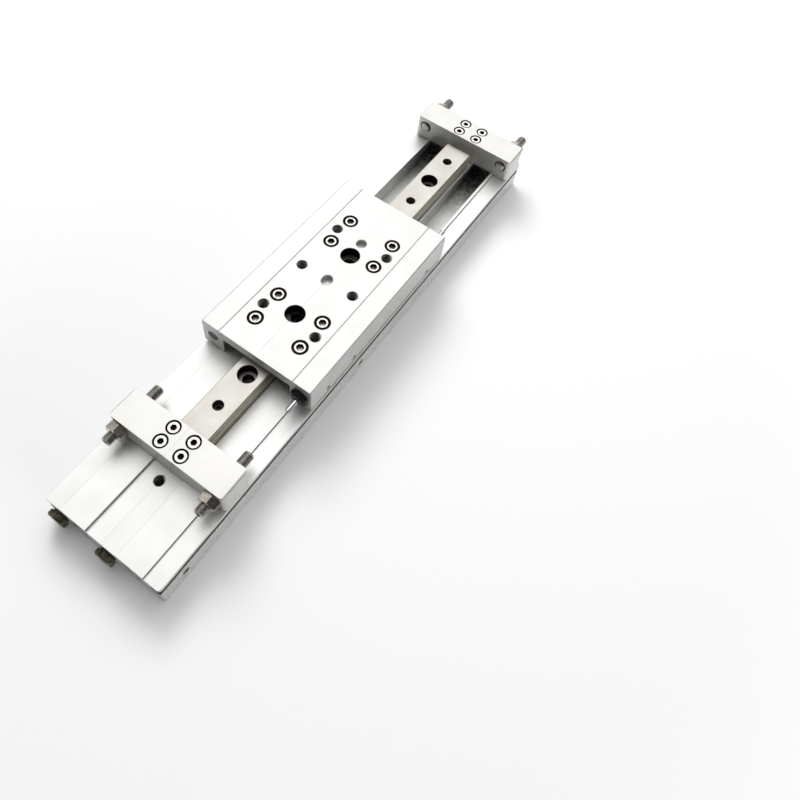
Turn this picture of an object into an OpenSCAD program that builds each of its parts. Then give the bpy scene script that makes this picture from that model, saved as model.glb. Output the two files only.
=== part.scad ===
// Long-stroke pneumatic slide table.
// A low aluminium body holds two rod cylinders side by side. A linear guide on top of it carries the
// table on two carriages, and the piston rods pull the table through brackets that run in two channels.
// A stopper block at each end holds two adjusting bolts, which meet a shock absorber and a bumper.
// X runs along the stroke from the port end (x = 0), Y across it, Z up from the mounting face (z = 0).

/* [Body] */
// Width of the body over its lips
body_w = 60; // [58:1:80]
// Height of the raised top platform
platform_h = 17.2; // [17:0.1:20]
// Gap between a rod bracket and the outer wall of its channel
bracket_side = 1.9; // [1.7:0.1:2.1]
// How far the outer strips lie below the platform
strip_drop = 0.9; // [0.3:0.1:1.2]
// Thickness of the side lips
lip_t = 2; // [1.5:0.1:2.4]
// Inset of the lower side wall behind the lip
wall_inset = 0.2; // [0:0.1:1]
// Height of the switch groove in each side
groove_h = 3.6; // [3:0.1:4]
// Chamfer on the lower lip of the switch groove
groove_chamfer = 0.6; // [0.2:0.1:1]
// Depth of the switch groove from the lower side wall
groove_depth = 4.6; // [3:0.1:4.8]
// Corner radius of the body seen from above
body_corner_r = 1.6; // [0.5:0.1:4]
// Length of the body in front of the near stopper block
port_end_len = 36; // [32:1:60]
// Length of the body behind the far stopper block
tail_len = 3.4; // [2:0.1:30]
// Width of the rail seat
seat_w = 16.2; // [16.1:0.1:17]
// Depth of the rail seat below the platform
seat_depth = 1.4; // [0.6:0.1:1.8]
// Diameter of the tapped hole in the port end of the platform
top_hole_d = 4.6; // [4.2:0.1:5.2]
// Distance of that hole from the port end face
top_hole_x = 30.7; // [20:0.1:31]

/* [Cylinders] */
// Full stroke of the pistons
stroke = 100; // [70:10:200]
// Where the table stands in its stroke
table_pos = 32.2; // [12:0.1:58]
// Cylinder bore
bore_d = 10; // [8:0.5:10.4]
// Distance of each bore from the middle plane
bore_y = 14; // [14:0.1:14.4]
// Height of the bore axis
bore_z = 9.5; // [9.3:0.1:10]
// Piston rod diameter
rod_d = 4; // [3:0.5:5]
// Piston length
piston_len = 12; // [9:0.5:12]
// Length of the head cover in its counterbore
head_cover_len = 5.8; // [5:0.1:6]
// Length of the rod cover
rod_cover_len = 15; // [11:0.5:15]
// Diameter of the covers
cover_d = 10.7; // [10.6:0.1:11]
// Diameter of the air passages
passage_d = 3; // [2:0.1:3]
// Height of the cross passages
passage_z = 5.6; // [5.2:0.1:6]
// Distance of the head side passage from the port end face
head_passage_x = 12.4; // [11.8:0.1:12.4]
// Diameter of the plugs that close the cross passages
passage_plug_d = 3.6; // [3.2:0.1:4]

/* [Ports] */
// Distance of the rod-side port outwards from the cylinder beside it
port_offset = 9.6; // [9.6:0.1:10]
// Distance of the head side port from the middle plane
head_port_y = -2; // [-3:0.1:2]
// Height of both ports
port_z = 7.8; // [7.6:0.1:8]
// Thread diameter of the ports
port_d = 5; // [4:0.1:5]
// Width across flats of the port plugs
plug_af = 8; // [7:0.5:8]
// Head height of the port plugs
plug_head = 2.6; // [2:0.1:4]
// Thickness of the port gaskets
gasket_t = 0.6; // [0.5:0.1:1]

/* [Channels] */
// Inner edge of the channels that the brackets run in
channel_in = 8.5; // [8.5:0.1:8.6]
// Thickness of the rib between a channel and its outer strip
rib_w = 1.4; // [0.8:0.1:1.6]
// Height of the channel floor
channel_floor = 5.5; // [3:0.1:5.6]
// Corner radius of the channels
channel_r = 2; // [1:0.1:2.4]

/* [Rail] */
// Rail width
rail_w = 15; // [14.6:0.1:15.2]
// Rail height
rail_h = 9.5; // [9:0.1:9.8]
// Distance from one rail hole to the next
rail_pitch = 18.3; // [15:0.1:24]
// Distance from the rail's far end to the far stopper block
rail_far_gap = 4; // [0:0.1:6]
// Distance from the rail's near end to its first hole
rail_first_gap = 15.3; // [8:0.1:18]
// Counterbore of the body mounting holes
mount_cbore_d = 9; // [8.6:0.1:9.4]
// Depth of that counterbore
mount_cbore_h = 5.3; // [4:0.1:6]
// Clearance hole for the body mounting bolts
mount_hole_d = 5.5; // [4.5:0.1:5.5]
// Counterbore of the rail screws
rail_cbore_d = 5; // [4.8:0.1:5.4]
// Depth of the rail screw counterbore
rail_cbore_h = 5.2; // [4:0.1:5.8]
// Thread diameter of the rail screws
rail_screw_d = 2.5; // [2:0.1:2.8]
// Diameter of the balls in the carriages
ball_d = 2; // [1.8:0.1:2.2]
// Balls in each loaded row
ball_count = 9; // [5:1:10]

/* [Stopper blocks] */
// Thickness of a stopper block along the stroke
block_t = 15; // [14:0.5:20]
// How far the sides of a stopper block stand in from the body's lips
block_inset = 0; // [0:0.1:1]
// Height of the block's top face above the mounting face
block_top = 30.6; // [30:0.1:36]
// Corner radius of the block seen from above
block_r = 2.2; // [1:0.1:3]
// Block screw spacing along the stroke
block_screw_x = 7.2; // [7:0.1:7.6]
// Block screw spacing across the stroke
block_screw_y = 10.7; // [8:0.1:11]
// Thread diameter of the block screws
block_screw_d = 3; // [2.5:0.5:3]
// Length of the block screws under the head
block_screw_len = 16; // [14:1:18]

/* [Adjusting bolts] */
// How far the stops' axes stand outwards from the middle of the table's legs
stop_offset = 0.1; // [-0.1:0.1:0.3]
// Height of the bolt axes
stop_z = 25; // [24.6:0.1:25.4]
// Adjusting bolt diameter
bolt_d = 5; // [4:0.5:5]
// Length of the near bolts
near_bolt_len = 30; // [28:0.5:40]
// How far the near bolts reach past their block towards the table
near_bolt_out = 6.9; // [1:0.1:7]
// Length of the far bolts
far_bolt_len = 28; // [24:0.5:40]
// How far the far bolts reach past their block towards the table
far_bolt_out = 1; // [0:0.1:4]
// Width across flats of the lock nuts
nut_af = 8; // [7:0.5:8]
// Thickness of the lock nuts
nut_t = 4; // [2.7:0.1:4]
// How far the lock nuts are turned from a corner upwards
nut_turn = 10; // [0:1:30]

/* [Table] */
// Table length
table_len = 106.7; // [104:0.1:140]
// How far the table's sides stand in from the body's lips
table_inset = 0; // [0:0.1:1]
// Height of the table's top face
table_top = 33.3; // [33:0.1:36]
// Thickness of the table plate
plate_t = 5.5; // [5:0.1:5.8]
// Height of the lower edge of the table's legs
leg_bottom = 17.6; // [17.5:0.1:20]
// Radius of the legs' lower outer edges
leg_r = 0.6; // [0.4:0.1:2]
// Chamfer along the table's top edges
table_chamfer = 0.7; // [0.2:0.1:1.5]
// Distance of the fine grooves from the table's sides
trim_inset = 9.8; // [8:0.1:11]
// Distance from the table's near end to the first carriage
carriage_x = 22.8; // [22:0.1:24]
// Distance from the second carriage to the table's far end
carriage_back = 28.8; // [27.9:0.1:33.9]
// Table screw spacing along the stroke
table_screw_x = 15.8; // [14:0.1:16.4]
// Distance of the table screws from the carriages' sides
table_screw_inset = 3.55; // [3.3:0.05:4]
// Thread diameter of the table screws
table_screw_d = 4; // [3:0.5:4]
// Half the distance between the two rows of tapped holes
tapped_y = 14.5; // [13:0.1:16]
// Thread diameter of the tapped holes in the table
tapped_d = 5; // [4:0.5:5]
// Diameter of the access holes
access_d = 9.5; // [9:0.1:9.6]
// Distance of the first access hole from the first carriage
access_near = 4.2; // [3.6:0.1:4.6]
// Distance of the second access hole from the second carriage
access_far = -9.4; // [-9.6:0.1:-9]
// Diameter of the locating hole and width of the locating slot
pin_d = 5; // [3:0.5:5]
// Length of a locating slot beyond its width
pin_slack = 1; // [0.5:0.1:3]
// Depth of the locating hole and slot
pin_depth = 3; // [2:0.1:3.5]

/* [Carriages] */
// Width of a carriage
carriage_w = 32; // [31:0.1:34]
// Gap between a carriage's sides and the table's legs
carriage_side = 2.6; // [2.4:0.1:3]
// Length of a carriage's steel body
carriage_len = 24; // [22:0.1:25]
// Length of a carriage's end cap
cap_len = 3.5; // [2.5:0.1:3.8]
// Height of the carriage's lower face
carriage_bottom = 18.3; // [18:0.1:19]

/* [Shock absorbers and bumpers] */
// Thread diameter of the shock absorber
absorber_d = 6; // [5:0.5:6]
// Length of the shock absorber's body
absorber_len = 30; // [24:1:40]
// How far its body stands out of the leg
absorber_out = 2.6; // [2.4:0.1:6]
// Shock absorber rod diameter
absorber_rod_d = 2.4; // [1.6:0.1:2.6]
// How far its rod stands out of its body
absorber_rod_out = 6.2; // [4.6:0.1:7]
// Travel of the absorber rod
absorber_stroke = 4; // [3:0.5:4.5]
// Width across flats of the absorber's lock nut
absorber_nut_af = 8; // [7:0.5:9]
// Thickness of the absorber's lock nut
absorber_nut_t = 2; // [1.6:0.1:2.4]
// Diameter of the bumpers
bumper_d = 5; // [4:0.1:5.4]
// Length of the bumpers
bumper_len = 10; // [6:0.5:16]

/* [Hidden] */
$fn = 64;

// widths that follow the rail and its carriages
leg_in = carriage_w / 2 + carriage_side;
channel_out = leg_in + bracket_side;
platform_half = channel_out + rib_w;
table_screw_y = carriage_w - 2 * table_screw_inset;
rod_port_y = bore_y + port_offset;

// widths that follow the body
block_w = body_w - 2 * block_inset;
table_w = body_w - 2 * table_inset;
stop_y = (table_w / 2 + leg_in) / 2 + stop_offset;
trim_y = table_w / 2 - trim_inset;

// clearances
fit_gap = 0.05;            // round a screw, a shaft or a cover in its hole
run_gap = 0.3;             // between pieces that move past each other
cut = 1;                   // how far a cutter passes through a face
sides = [-1, 1];

// heights
strip_z = platform_h - strip_drop;
lip_z = strip_z - lip_t;
groove_z = lip_z - groove_h;
seat_z = platform_h - seat_depth;
rail_top = seat_z + rail_h;
table_under = table_top - plate_t;

// places along the stroke
near_block_x = port_end_len;
rail_x = near_block_x + block_t;
near_stop_x = rail_x + near_bolt_out;
table_x = near_stop_x + table_pos;
block_span = near_bolt_out + stroke + table_len + far_bolt_out;
rail_len = block_span - rail_far_gap;
far_block_x = rail_x + block_span;
body_len = far_block_x + block_t + tail_len;
rail_first = rail_x + rail_first_gap;
rail_steps = floor((rail_len - rail_first_gap - 8) / (2 * rail_pitch)) * 2;
carriage_centres = [table_x + carriage_x, table_x + table_len - carriage_back];
access_centres = [carriage_centres[0] + access_near, carriage_centres[1] + access_far];
table_end = table_x + table_len;

// cylinder train
cover_bore_d = cover_d + 2 * fit_gap;
head_cover_x = 2.2;
ring_t = 0.9;
ring_groove_d = cover_bore_d + 0.9;
head_cover_end = head_cover_x + head_cover_len;
piston_home_x = head_passage_x + passage_d / 2 + 0.5;
piston_x = piston_home_x + table_pos;
rod_passage_x = piston_home_x + stroke + piston_len + passage_d / 2 + 0.5;
rod_cover_x = rod_passage_x + passage_d / 2 + 1;
rod_cover_end = rod_cover_x + rod_cover_len;
bracket_len = 12;
bracket_x = table_end - bracket_len - run_gap;
rod_nut_t = 2.2;
channel_x = rod_cover_end + ring_t + 1.6;
channel_end = far_block_x + block_t / 3;
rod_thread = bracket_len / 2 - 1;
oring_d = 0.9;
seal_depth = 3;

// hardware, by thread diameter
head_gap = 0.5;            // round a screw's head in its counterbore
head_step = 3.5;           // threads above this size have narrower heads for their size
socket_step = 2.7;         // threads above this size have wider sockets for their size
function head_d(d) = (d > head_step ? 1.65 : 1.8) * d;
function head_h(d) = d;
function cbore_d(d) = head_d(d) + 2 * head_gap;
function socket_af(d) = d <= socket_step ? 0.8 * d : 0.8 * d + 0.1;
block_head_drop = 0.2;
table_head_drop = 0.1;
block_seat = block_top - block_head_drop - head_h(block_screw_d);
block_tap_depth = block_screw_len - (block_seat - seat_z) + 1;
block_edge = 0.8;
rail_tap_depth = 8;
passage_plug_len = 4;
port_depth = 6.5;
absorber_wall = 2;
absorber_head = 3;
absorber_room = 4;         // room in an absorber behind its piston
absorber_bore = 0.6 * absorber_d;
side_hole_d = 2.5;
side_hole_depth = 3.5;
side_hole_z = leg_bottom + 2.7;
side_hole_near = [12.3, 31.5];   // from the table's near end
side_hole_far = 14.3;            // from its far end
bracket_screw_d = 3;
plate_skin = 1.2;          // metal left over the brackets' tapped holes
bracket_clamp = 9;         // metal under the table that a bracket screw pulls on
plug_thread = 5.5;         // length of a port plug's thread in the body
race_drop = [6.4, 2.6];    // raceway centres below the rail's top
seal_back = 4;             // piston seal's groove from the piston's rod end
thread_reach = 1.6;        // engagement of a screw, as a share of its diameter
tap_extra = 0.2;           // countersink of a tapped hole beyond its thread

// ---------- shared shapes ----------

// cylinder that runs along +X from [x, y, z]
module rod_x(x, y, z, d, len) {
  translate([x, y, z]) rotate([0, 90, 0]) cylinder(d = d, h = len);
}

// hexagonal prism along +X with a corner up
module hex_x(x, y, z, af, len) {
  translate([x, y, z]) rotate([0, 90, 0]) cylinder(d = af / cos(30), h = len, $fn = 6);
}

// ring along +X
module ring_x(x, y, z, d_out, d_in, len) {
  translate([x, y, z]) rotate([0, 90, 0]) difference() {
    cylinder(d = d_out, h = len);
    translate([0, 0, -cut]) cylinder(d = d_in, h = len + 2 * cut);
  }
}

// round-section ring on an X axis
module oring_x(x, y, z, d_mid, d_section) {
  translate([x, y, z]) rotate([0, 90, 0])
    rotate_extrude() translate([d_mid / 2, 0]) circle(d = d_section, $fn = 24);
}

// vertical hole with its top at z
module drill(x, y, z, d, depth) {
  translate([x, y, z - depth]) cylinder(d = d, h = depth + cut);
}

// vertical countersink with its widest ring at z
module countersink(x, y, z, d, width) {
  translate([x, y, z - width]) cylinder(d1 = d, d2 = d + 2 * width, h = width);
}

// rectangle with round corners, drawn from its middle
module rounded_rect(size, r) {
  square([size[0] - 2 * r, size[1]], center = true);
  square([size[0], size[1] - 2 * r], center = true);
  for (i = sides, j = sides)
    translate([i * (size[0] / 2 - r), j * (size[1] / 2 - r)]) circle(r = r);
}

// slot in plan, its length along X
module slot(len, w) {
  square([len - w, w], center = true);
  for (i = sides) translate([i * (len - w) / 2, 0]) circle(d = w);
}

// socket head cap screw, its head's underside at z = 0 and its thread down
module cap_screw(d, len) {
  edge = 0.1 * d;
  difference() {
    union() {
      cylinder(d = head_d(d), h = head_h(d) - edge);
      translate([0, 0, head_h(d) - edge])
        cylinder(d1 = head_d(d), d2 = head_d(d) - 2 * edge, h = edge);
      translate([0, 0, -len]) cylinder(d = d, h = len);
    }
    translate([0, 0, head_h(d) - 0.55 * d])
      cylinder(d = socket_af(d) / cos(30), h = d, $fn = 6);
  }
}

// hexagon nut with chamfered corners, along +X from x
module hex_nut_x(x, y, z, af, t, hole_d) {
  corner_d = af / cos(30);
  drop = (corner_d - af) / 2 * tan(30);
  difference() {
    intersection() {
      hex_x(x, y, z, af, t);
      translate([x, y, z]) rotate([0, 90, 0]) union() {
        cylinder(d1 = af, d2 = corner_d, h = drop);
        translate([0, 0, drop]) cylinder(d = corner_d, h = t - 2 * drop);
        translate([0, 0, t - drop]) cylinder(d1 = corner_d, d2 = af, h = drop);
      }
    }
    rod_x(x - cut, y, z, hole_d, t + 2 * cut);
  }
}

// stud with chamfered ends and a hexagon socket, along +X from x; socket_end is 0 or 1
module stud_x(x, y, z, d, len, socket_end) {
  edge = 0.1 * d;
  socket_len = 0.6 * d;
  difference() {
    translate([x, y, z]) rotate([0, 90, 0]) union() {
      cylinder(d1 = d - 2 * edge, d2 = d, h = edge);
      translate([0, 0, edge]) cylinder(d = d, h = len - 2 * edge);
      translate([0, 0, len - edge]) cylinder(d1 = d, d2 = d - 2 * edge, h = edge);
    }
    hex_x(socket_end == 0 ? x - cut : x + len - socket_len, y, z, 0.5 * d, socket_len + cut);
  }
}

// ---------- body ----------

module body_profile() {
  wall = body_w / 2 - wall_inset;
  for (s = [0, 1]) mirror([s, 0]) polygon([
    [0, 0], [wall, 0], [wall, groove_z - groove_chamfer], [wall - groove_chamfer, groove_z],
    [wall - groove_depth, groove_z],
    [wall - groove_depth, lip_z], [body_w / 2, lip_z], [body_w / 2, strip_z],
    [platform_half, strip_z], [platform_half, platform_h], [seat_w / 2, platform_h],
    [seat_w / 2, seat_z], [0, seat_z]
  ]);
}

// pocket that one bracket and its rod nut run in
module channel(side) {
  w = channel_out - channel_in;
  len = channel_end - channel_x;
  translate([channel_x + len / 2, side * (channel_in + w / 2), channel_floor])
    linear_extrude(platform_h) rounded_rect([len, w], channel_r);
}

// cylinder bore with the counterbores of its two covers
module bore(side) {
  y = side * bore_y;
  rod_x(head_cover_end - cut, y, bore_z, bore_d, rod_cover_x - head_cover_end + 2 * cut);
  rod_x(-cut, y, bore_z, cover_bore_d, head_cover_end + cut);
  rod_x(head_cover_x - ring_t, y, bore_z, ring_groove_d, ring_t);
  rod_x(rod_cover_x, y, bore_z, cover_bore_d, channel_x + channel_r - rod_cover_x);
  rod_x(rod_cover_end, y, bore_z, ring_groove_d, ring_t);
}

// passage drilled across both bores from the right side
module cross_passage(x, y_end) {
  from = -body_w / 2 - cut;
  translate([x, from, passage_z]) rotate([-90, 0, 0]) cylinder(d = passage_d, h = y_end - from);
  translate([x, from, passage_z]) rotate([-90, 0, 0])
    cylinder(d = passage_plug_d, h = cut + wall_inset + passage_plug_len + 0.2);
}

module ports() {
  for (y = [rod_port_y, head_port_y]) {
    rod_x(-cut, y, port_z, port_d, port_depth + cut);
    rod_x(0, y, port_z, passage_d, port_depth + 2);
  }
  rod_x(0, rod_port_y, port_z, passage_d, rod_passage_x + passage_d / 2);
  rod_x(0, head_port_y, port_z, passage_d, head_passage_x + passage_d / 2);
}

module base_holes() {
  for (i = [1 : 2 : rail_steps - 1])
    drill(rail_first + i * rail_pitch, 0, seat_z, mount_hole_d, seat_z + cut);
  for (i = [0 : 2 : rail_steps])
    drill(rail_first + i * rail_pitch, 0, seat_z, rail_screw_d + 2 * fit_gap, rail_tap_depth);
  for (x = [near_block_x, far_block_x], i = sides, j = sides)
    drill(x + block_t / 2 + i * block_screw_x / 2, j * block_screw_y / 2, seat_z,
      block_screw_d + 2 * fit_gap, block_tap_depth);
  drill(top_hole_x, 0, seat_z, top_hole_d, seat_z + cut);
  countersink(top_hole_x, 0, seat_z, top_hole_d, tap_extra);
  // locating hole and slot in the mounting face
  translate([near_block_x + block_t / 2, 0, -cut]) cylinder(d = pin_d, h = pin_depth + cut);
  translate([far_block_x + block_t / 2, 0, -cut])
    linear_extrude(pin_depth + cut) slot(pin_d + pin_slack, pin_d);
}

module base_body() {
  color("gainsboro") difference() {
    intersection() {
      rotate([90, 0, 90]) linear_extrude(body_len) body_profile();
      translate([body_len / 2, 0, -cut]) linear_extrude(platform_h + 2 * cut)
        rounded_rect([body_len, body_w], body_corner_r);
    }
    for (s = sides) {
      channel(s);
      bore(s);
    }
    cross_passage(head_passage_x, bore_y);
    cross_passage(rod_passage_x, rod_port_y);
    ports();
    base_holes();
  }
}

// ---------- rail ----------

// centres of the two raceways on one side, above the rail's foot
race_y = rail_w / 2 + 0.45;
race_z = [rail_h - race_drop[0], rail_h - race_drop[1]];
race_d = ball_d + 0.2;

module rail_profile(grow) {
  edge = 0.4;
  half = rail_w / 2;
  difference() {
    polygon([
      [-half - grow, -grow], [half + grow, -grow], [half + grow, rail_h - edge + grow],
      [half - edge + grow, rail_h + grow], [-half + edge - grow, rail_h + grow],
      [-half - grow, rail_h - edge + grow]
    ]);
    if (grow == 0) for (s = sides, z = race_z) translate([s * race_y, z]) circle(d = race_d);
  }
}

module guide_rail() {
  color("lightgray") difference() {
    translate([rail_x, 0, seat_z]) rotate([90, 0, 90]) linear_extrude(rail_len) rail_profile(0);
    for (i = [1 : 2 : rail_steps - 1]) {
      drill(rail_first + i * rail_pitch, 0, rail_top, mount_cbore_d, mount_cbore_h);
      drill(rail_first + i * rail_pitch, 0, rail_top, mount_hole_d, rail_h + cut);
    }
    for (i = [0 : 2 : rail_steps]) {
      drill(rail_first + i * rail_pitch, 0, rail_top, rail_cbore_d, rail_cbore_h);
      drill(rail_first + i * rail_pitch, 0, rail_top, rail_screw_d + 2 * fit_gap, rail_h + cut);
    }
  }
}

module rail_screws() {
  color("silver") for (i = [0 : 2 : rail_steps])
    translate([rail_first + i * rail_pitch, 0, rail_top - rail_cbore_h])
      cap_screw(rail_screw_d, rail_h - rail_cbore_h + rail_tap_depth - 1);
}

// ---------- stopper blocks ----------

module block_screw_places(x) {
  for (i = sides, j = sides)
    translate([x + block_t / 2 + i * block_screw_x / 2, j * block_screw_y / 2, 0]) children();
}

// block whose foot fills the rail seat and rests on the platform and on the outer strips
module stopper_block(x, inner) {
  foot_half = platform_half + fit_gap;
  difference() {
    intersection() {
      translate([x + block_t / 2, 0, seat_z]) linear_extrude(block_top - seat_z)
        rounded_rect([block_t, block_w], block_r);
      translate([x, 0, 0]) rotate([90, 0, 90]) linear_extrude(block_t) for (s = [0, 1])
        mirror([s, 0]) polygon([
          [0, seat_z], [seat_w / 2 - fit_gap, seat_z], [seat_w / 2 - fit_gap, platform_h],
          [foot_half, platform_h], [foot_half, strip_z], [block_w / 2, strip_z],
          [block_w / 2, block_top - block_edge], [block_w / 2 - block_edge, block_top],
          [0, block_top]
        ]);
    }
    block_screw_places(x) {
      translate([0, 0, 0]) cylinder(d = block_screw_d + 2 * fit_gap, h = block_top);
      translate([0, 0, block_seat]) cylinder(d = cbore_d(block_screw_d), h = block_top);
    }
    for (s = sides) {
      rod_x(x - cut, s * stop_y, stop_z, bolt_d + 2 * fit_gap, block_t + 2 * cut);
      translate([inner > 0 ? x + block_t : x, s * stop_y, stop_z]) rotate([0, -90 * inner, 0])
        cylinder(d1 = bolt_d + 1.6, d2 = bolt_d, h = 0.8);
    }
  }
}

module near_stopper_block() { color("whitesmoke") stopper_block(near_block_x, 1); }
module far_stopper_block() { color("whitesmoke") stopper_block(far_block_x, -1); }

module block_screws(x) {
  block_screw_places(x) translate([0, 0, block_seat]) cap_screw(block_screw_d, block_screw_len);
}
module near_block_screws() { color("silver") block_screws(near_block_x); }
module far_block_screws() { color("silver") block_screws(far_block_x); }

// ---------- adjusting bolts ----------

module near_bolt(side) {
  stud_x(near_stop_x - near_bolt_len, side * stop_y, stop_z, bolt_d, near_bolt_len, 0);
}
module far_bolt(side) {
  stud_x(far_block_x - far_bolt_out, side * stop_y, stop_z, bolt_d, far_bolt_len, 1);
}
module near_left_bolt() { color("darkgray") near_bolt(1); }
module near_right_bolt() { color("darkgray") near_bolt(-1); }
module far_left_bolt() { color("darkgray") far_bolt(1); }
module far_right_bolt() { color("darkgray") far_bolt(-1); }

module lock_nut(x, side) {
  translate([x, side * stop_y, stop_z]) rotate([nut_turn, 0, 0])
    hex_nut_x(0, 0, 0, nut_af, nut_t, bolt_d + 2 * fit_gap);
}
module near_lock_nuts() {
  color("tan") for (s = sides)
    lock_nut(near_block_x - nut_t, s);
}
module far_lock_nuts() {
  color("tan") for (s = sides)
    lock_nut(far_block_x + block_t, s);
}

// ---------- ports and passages ----------

module port_plugs() {
  color("darkolivegreen") for (y = [rod_port_y, head_port_y]) difference() {
    union() {
      intersection() {
        hex_x(-gasket_t - plug_head, y, port_z, plug_af, plug_head);
        translate([-gasket_t - plug_head, y, port_z]) rotate([0, 90, 0])
          cylinder(d1 = plug_af, d2 = plug_af + 2 * plug_head, h = plug_head);
      }
      rod_x(-gasket_t - cut / 2, y, port_z, port_d - 2 * fit_gap, gasket_t + cut / 2 + plug_thread);
    }
    hex_x(-gasket_t - plug_head - cut, y, port_z, 2.5, cut + 1.6);
  }
}

module port_gaskets() {
  color("dimgray") for (y = [rod_port_y, head_port_y])
    ring_x(-gasket_t, y, port_z, plug_af - 0.5, port_d, gasket_t);
}

module passage_plugs() {
  face = body_w / 2 - wall_inset;
  color("gray") for (x = [head_passage_x, rod_passage_x])
    translate([x, 0.4 - face, passage_z]) rotate([-90, 0, 0]) difference() {
      cylinder(d = passage_plug_d - 2 * fit_gap, h = passage_plug_len - 0.4);
      translate([0, 0, -cut]) cylinder(d = 0.5 * passage_plug_d, h = cut + 1.6, $fn = 6);
    }
}

// ---------- cylinder covers and seals ----------

module head_covers() {
  color("silver") for (s = sides) difference() {
    union() {
      rod_x(head_cover_x, s * bore_y, bore_z, cover_d, head_cover_len);
      rod_x(head_cover_end, s * bore_y, bore_z, 0.6 * bore_d, piston_home_x - head_cover_end - 0.3);
    }
    cover_groove(head_cover_x + head_cover_len / 2, s);
  }
}

// groove for a cover's sealing ring
module cover_groove(x, side) {
  groove_w = 1.4 * oring_d;
  ring_x(x - groove_w / 2, side * bore_y, bore_z, cover_d + cut, cover_d - 2 * oring_d, groove_w);
}

// sealing ring in a cover's groove
module cover_ring(x, side) {
  oring_x(x, side * bore_y, bore_z, cover_d - oring_d, oring_d - fit_gap);
}

module head_cover_rings() {
  color("black") for (s = sides) cover_ring(head_cover_x + head_cover_len / 2, s);
}

module rod_covers() {
  color("silver") for (s = sides) difference() {
    rod_x(rod_cover_x, s * bore_y, bore_z, cover_d, rod_cover_len);
    rod_x(rod_cover_x - cut, s * bore_y, bore_z, rod_d + 2 * fit_gap, rod_cover_len + 2 * cut);
    rod_x(rod_cover_end - seal_depth, s * bore_y, bore_z, rod_d + 3, seal_depth + cut);
    cover_groove(rod_cover_x + rod_cover_len / 2, s);
  }
}

module rod_cover_rings() {
  color("black") for (s = sides) cover_ring(rod_cover_x + rod_cover_len / 2, s);
}

module rod_seals() {
  color("black") for (s = sides)
    ring_x(rod_cover_end - seal_depth, s * bore_y, bore_z, rod_d + 3 - 2 * fit_gap,
      rod_d + 2 * fit_gap, seal_depth - 0.2);
}

// spring ring with its gap upwards
module retaining_ring(x, side) {
  difference() {
    ring_x(x + fit_gap, side * bore_y, bore_z, ring_groove_d - 2 * fit_gap,
      cover_bore_d - 2.4, ring_t - 2 * fit_gap);
    translate([x, side * bore_y - 1, bore_z]) cube([ring_t, 2, cover_bore_d]);
  }
}
module head_retaining_rings() {
  color("dimgray") for (s = sides) retaining_ring(head_cover_x - ring_t, s);
}
module rod_retaining_rings() {
  color("dimgray") for (s = sides) retaining_ring(rod_cover_end, s);
}

// ---------- pistons and rods ----------

piston_d = bore_d - 0.2;
piston_seal_w = 1.8;
magnet_w = 2.4;
piston_seal_x = piston_x + piston_len - seal_back;
magnet_x = piston_x + 2.6;

module pistons() {
  color("goldenrod") for (s = sides) difference() {
    rod_x(piston_x, s * bore_y, bore_z, piston_d, piston_len);
    rod_x(piston_x - cut, s * bore_y, bore_z, rod_d + 2 * fit_gap, piston_len + 2 * cut);
    ring_x(piston_seal_x, s * bore_y, bore_z, bore_d, 0.76 * bore_d, piston_seal_w);
    ring_x(magnet_x, s * bore_y, bore_z, bore_d, 0.7 * bore_d, magnet_w);
  }
}

module piston_seals() {
  color("black") for (s = sides)
    ring_x(piston_seal_x + fit_gap, s * bore_y, bore_z, bore_d - 2 * fit_gap, 0.76 * bore_d,
      piston_seal_w - 2 * fit_gap);
}

module piston_magnets() {
  color("dimgray") for (s = sides)
    ring_x(magnet_x + fit_gap, s * bore_y, bore_z, piston_d - 0.2, 0.7 * bore_d,
      magnet_w - 2 * fit_gap);
}

module piston_rod(side) {
  rod_x(piston_x, side * bore_y, bore_z, rod_d, bracket_x + rod_thread - piston_x);
}
module left_piston_rod() { color("lightsteelblue") piston_rod(1); }
module right_piston_rod() { color("lightsteelblue") piston_rod(-1); }

module rod_nuts() {
  color("silver") for (s = sides)
    translate([0, s * bore_y, bore_z]) rotate([30, 0, 0])
      hex_nut_x(bracket_x - rod_nut_t, 0, 0, 1.75 * rod_d, rod_nut_t, rod_d + 2 * fit_gap);
}

// bracket that ties a rod to the table, between the rail and the table's leg
bracket_in = rail_w / 2 + run_gap + 1.2;
bracket_bottom = channel_floor + 1;
bracket_screw_x = bracket_x + bracket_len - head_d(bracket_screw_d) / 2 - 0.9;
bracket_head_z = table_under - bracket_clamp;
bracket_cbore_d = head_d(bracket_screw_d) + 0.6;

module bracket(side) {
  w = leg_in - bracket_in;
  difference() {
    translate([bracket_x + bracket_len / 2, side * (bracket_in + w / 2), bracket_bottom])
      linear_extrude(table_under - bracket_bottom) rounded_rect([bracket_len, w], 0.8);
    rod_x(bracket_x - cut, side * bore_y, bore_z, rod_d + 2 * fit_gap, rod_thread + cut + 0.3);
    translate([bracket_screw_x, side * bore_y, bracket_bottom - cut])
      cylinder(d = bracket_cbore_d, h = bracket_head_z - bracket_bottom + cut);
    translate([bracket_screw_x, side * bore_y, bracket_bottom])
      cylinder(d = bracket_screw_d + 2 * fit_gap, h = table_top);
  }
}
module left_bracket() { color("lightslategray") bracket(1); }
module right_bracket() { color("lightslategray") bracket(-1); }

module bracket_screws() {
  len = table_under - bracket_head_z + thread_reach * bracket_screw_d - plate_skin;
  color("dimgray") for (s = sides)
    translate([bracket_screw_x, s * bore_y, bracket_head_z]) rotate([180, 0, 0])
      cap_screw(bracket_screw_d, len);
}

// ---------- table ----------

table_seat = table_top - table_head_drop - head_h(table_screw_d);

module table_screw_places() {
  for (c = carriage_centres, i = sides, j = sides)
    translate([c + i * table_screw_x / 2, j * table_screw_y / 2, 0]) children();
}

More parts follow.
